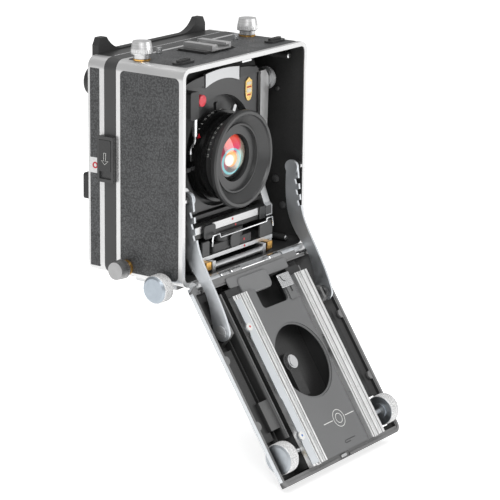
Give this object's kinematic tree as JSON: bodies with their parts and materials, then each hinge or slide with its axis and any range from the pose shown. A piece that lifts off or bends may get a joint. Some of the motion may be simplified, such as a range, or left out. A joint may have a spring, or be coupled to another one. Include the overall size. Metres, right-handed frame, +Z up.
{
  "type": "folding camera",
  "caption": "Folding press camera with drop bed on side struts, lens in leaf shutter on a bellows standard, sliding and revolving back, ground glass.",
  "frame": {"origin": "centre of the tripod socket's mouth on the underside of the base plate", "axes": "+Z up, -Y out of the lens, +X to the right seen from the front"},
  "size_m": [0.19, 0.2097, 0.321],
  "materials": {
    "body_metal": "satin lacquer on die-cast metal",
    "black_leather": "fine pebble grain",
    "bright_metal": "polished",
    "satin_chrome": "satin",
    "black_paint": "satin black enamel",
    "board_grey": "satin grey lacquer",
    "bellows_cloth": "matt black, folded",
    "brass": "machined",
    "red_plastic": "gloss",
    "lens_glass": "coated",
    "frosted_glass": "ground"
  },
  "bodies": {
    "camera_body": {"housing": "body_metal", "body_leather": "black_leather", "base_plate": "bright_metal", "tripod_bush": "bright_metal", "accessory_shoe": "bright_metal", "strap_lugs": "bright_metal", "knob_collars": "brass", "inner_track": "bright_metal", "bed_hinges": "bright_metal", "bellows": "bellows_cloth"},
    "bed": {"bed_tray": "body_metal", "bed_leather": "black_leather", "bed_guides": "bright_metal", "strut_screws": "bright_metal"},
    "left_strut": {"strut_left": "bright_metal"},
    "right_strut": {"strut_right": "bright_metal"},
    "focus_track": {"focus_rails": "satin_chrome", "track_plate": "black_paint", "stop_strip": "satin_chrome"},
    "focus_drive": {"focus_shaft": "bright_metal", "focus_wheels": "satin_chrome"},
    "latch_button": {"bed_button": "bright_metal"},
    "carriage": {"standard_carriage": "satin_chrome", "carriage_racks": "brass"},
    "rear_drive": {"drive_shaft": "bright_metal", "drive_knobs": "satin_chrome"},
    "shift_slide": {"shift_block": "satin_chrome"},
    "swing_post": {"swing_bar": "satin_chrome"},
    "tilting_frame": {"standard_frame": "satin_chrome"},
    "front_panel": {"rise_panel": "satin_chrome", "lens_board": "board_grey", "release_holder": "black_paint", "release_cable": "bright_metal", "shutter_case": "black_paint", "shutter_blades": "black_paint", "front_barrel": "black_paint", "front_element": "lens_glass", "rear_barrel": "black_paint", "rear_element": "lens_glass"},
    "tilt_clamp": {"tilt_knob": "satin_chrome"},
    "rise_clamp": {"rise_knob": "satin_chrome"},
    "board_catch": {"board_lock": "satin_chrome"},
    "release_plunger": {"release_button": "red_plastic"},
    "shutter_speed_ring": {"speed_ring": "satin_chrome"},
    "cocking_arm": {"cocking_lever": "bright_metal"},
    "release_arm": {"release_lever": "bright_metal"},
    "aperture_arm": {"aperture_lever": "bright_metal"},
    "top_knob_left": {"top_lock_knob_left": "satin_chrome"},
    "top_knob_right": {"top_lock_knob_right": "satin_chrome"},
    "side_knob_left": {"side_lock_knob_left": "satin_chrome"},
    "side_knob_right": {"side_lock_knob_right": "satin_chrome"},
    "sliding_back": {"mid_frame": "black_paint", "back_frame": "body_metal", "back_leather": "black_leather"},
    "release_slider": {"arrow_slider": "black_paint"},
    "rotating_back": {"revolving_back": "black_paint"},
    "screen_frame": {"focus_frame": "black_paint", "ground_glass": "frosted_glass"},
    "screen_lid": {"hood_lid": "black_paint"}
  },
  "joints": [
    {"name": "bed_hinge", "type": "hinge", "parent": "camera_body", "child": "bed", "pos_m": [0, -0.0348, 0.0062], "axis": [-1, 0, 0], "range_deg": [0, 140]},
    {"name": "left_strut_swing", "type": "hinge", "parent": "bed", "child": "left_strut", "pos_m": [-0.0675, -0.05958, -0.02493], "axis": [1, 0, 0], "range_deg": [0, 131]},
    {"name": "right_strut_swing", "type": "hinge", "parent": "bed", "child": "right_strut", "pos_m": [0.0675, -0.05958, -0.02493], "axis": [1, 0, 0], "range_deg": [0, 131]},
    {"name": "track_slide", "type": "slide", "parent": "bed", "child": "focus_track", "axis": [0, 0.5432, 0.8396], "range_m": [-0.055, 0]},
    {"name": "focus_spin", "type": "hinge", "parent": "bed", "child": "focus_drive", "pos_m": [0, -0.11578, -0.11125], "axis": [-1, 0, 0], "range_deg": [-800, 10]},
    {"name": "latch_press", "type": "slide", "parent": "bed", "child": "latch_button", "axis": [0, -0.8396, 0.5432], "range_m": [0, 0.0015], "stiffness_N_per_m": 400, "springref_m": -0.0005},
    {"name": "standard_slide", "type": "slide", "parent": "camera_body", "child": "carriage", "axis": [0, 1, 0], "range_m": [0, 0.01], "deforming": ["bellows"]},
    {"name": "drive_spin", "type": "hinge", "parent": "camera_body", "child": "rear_drive", "pos_m": [0, -0.0154, 0.0052], "axis": [-1, 0, 0], "range_deg": [-5, 135]},
    {"name": "front_shift", "type": "slide", "parent": "carriage", "child": "shift_slide", "axis": [1, 0, 0], "range_m": [-0.002, 0.002]},
    {"name": "front_swing", "type": "hinge", "parent": "shift_slide", "child": "swing_post", "pos_m": [0, -0.013, 0.02], "axis": [0, 0, 1], "range_deg": [-4, 4]},
    {"name": "front_tilt", "type": "hinge", "parent": "swing_post", "child": "tilting_frame", "pos_m": [0, -0.013, 0.0385], "axis": [-1, 0, 0], "range_deg": [0, 4]},
    {"name": "front_rise", "type": "slide", "parent": "tilting_frame", "child": "front_panel", "axis": [0, 0, 1], "range_m": [0, 0.008]},
    {"name": "tilt_clamp_turn", "type": "hinge", "parent": "tilting_frame", "child": "tilt_clamp", "pos_m": [0.0603, -0.004, 0.14], "axis": [1, 0, 0], "range_deg": [0, 180]},
    {"name": "rise_clamp_turn", "type": "hinge", "parent": "tilting_frame", "child": "rise_clamp", "pos_m": [-0.056, -0.009, 0.07], "axis": [0, 1, 0], "range_deg": [0, 180]},
    {"name": "board_catch_slide", "type": "slide", "parent": "front_panel", "child": "board_catch", "axis": [0, 0, 1], "range_m": [0, 0.0025]},
    {"name": "release_press", "type": "slide", "parent": "front_panel", "child": "release_plunger", "axis": [0, 1, 0], "range_m": [0, 0.0014], "stiffness_N_per_m": 300, "springref_m": -0.0005},
    {"name": "speed_ring_turn", "type": "hinge", "parent": "front_panel", "child": "shutter_speed_ring", "pos_m": [0, 0, 0.0895], "axis": [0, 1, 0], "range_deg": [-60, 60]},
    {"name": "cocking_turn", "type": "hinge", "parent": "front_panel", "child": "cocking_arm", "pos_m": [0, 0, 0.0895], "axis": [0, 1, 0], "range_deg": [0, 12]},
    {"name": "release_arm_turn", "type": "hinge", "parent": "front_panel", "child": "release_arm", "pos_m": [0, 0, 0.0895], "axis": [0, 1, 0], "range_deg": [0, 8]},
    {"name": "aperture_turn", "type": "hinge", "parent": "front_panel", "child": "aperture_arm", "pos_m": [0, 0, 0.0895], "axis": [0, 1, 0], "range_deg": [-8, 6]},
    {"name": "top_knob_left_turn", "type": "hinge", "parent": "camera_body", "child": "top_knob_left", "pos_m": [-0.067, 0.017, 0.17], "axis": [0, 0, 1], "range_deg": [0, 360]},
    {"name": "top_knob_right_turn", "type": "hinge", "parent": "camera_body", "child": "top_knob_right", "pos_m": [0.067, 0.017, 0.17], "axis": [0, 0, 1], "range_deg": [0, 360]},
    {"name": "side_knob_left_turn", "type": "hinge", "parent": "camera_body", "child": "side_knob_left", "pos_m": [-0.08, 0.021, 0.0135], "axis": [1, 0, 0], "range_deg": [0, 360]},
    {"name": "side_knob_right_turn", "type": "hinge", "parent": "camera_body", "child": "side_knob_right", "pos_m": [0.08, 0.021, 0.0135], "axis": [1, 0, 0], "range_deg": [0, 360]},
    {"name": "back_slide", "type": "slide", "parent": "camera_body", "child": "sliding_back", "axis": [0, 1, 0], "range_m": [0, 0.025]},
    {"name": "release_slide", "type": "slide", "parent": "sliding_back", "child": "release_slider", "axis": [0, 0, -1], "range_m": [0, 0.005]},
    {"name": "back_revolve", "type": "hinge", "parent": "sliding_back", "child": "rotating_back", "pos_m": [0, 0.06, 0.0875], "axis": [0, 1, 0], "range_deg": [0, 90]},
    {"name": "screen_slide", "type": "slide", "parent": "rotating_back", "child": "screen_frame", "axis": [0, 1, 0], "range_m": [0, 0.012], "stiffness_N_per_m": 400, "springref_m": -0.003},
    {"name": "lid_hinge", "type": "hinge", "parent": "screen_frame", "child": "screen_lid", "pos_m": [0, 0.0764, 0.018], "axis": [-1, 0, 0], "range_deg": [0, 100]}
  ],
  "couplings": [
    {"joint": "left_strut_swing", "follows": "bed_hinge", "ratio": 0.927},
    {"joint": "right_strut_swing", "follows": "bed_hinge", "ratio": 0.927},
    {"joint": "focus_spin", "follows": "track_slide", "rad_per_m": 250},
    {"joint": "drive_spin", "follows": "standard_slide", "rad_per_m": 227.27}
  ]
}
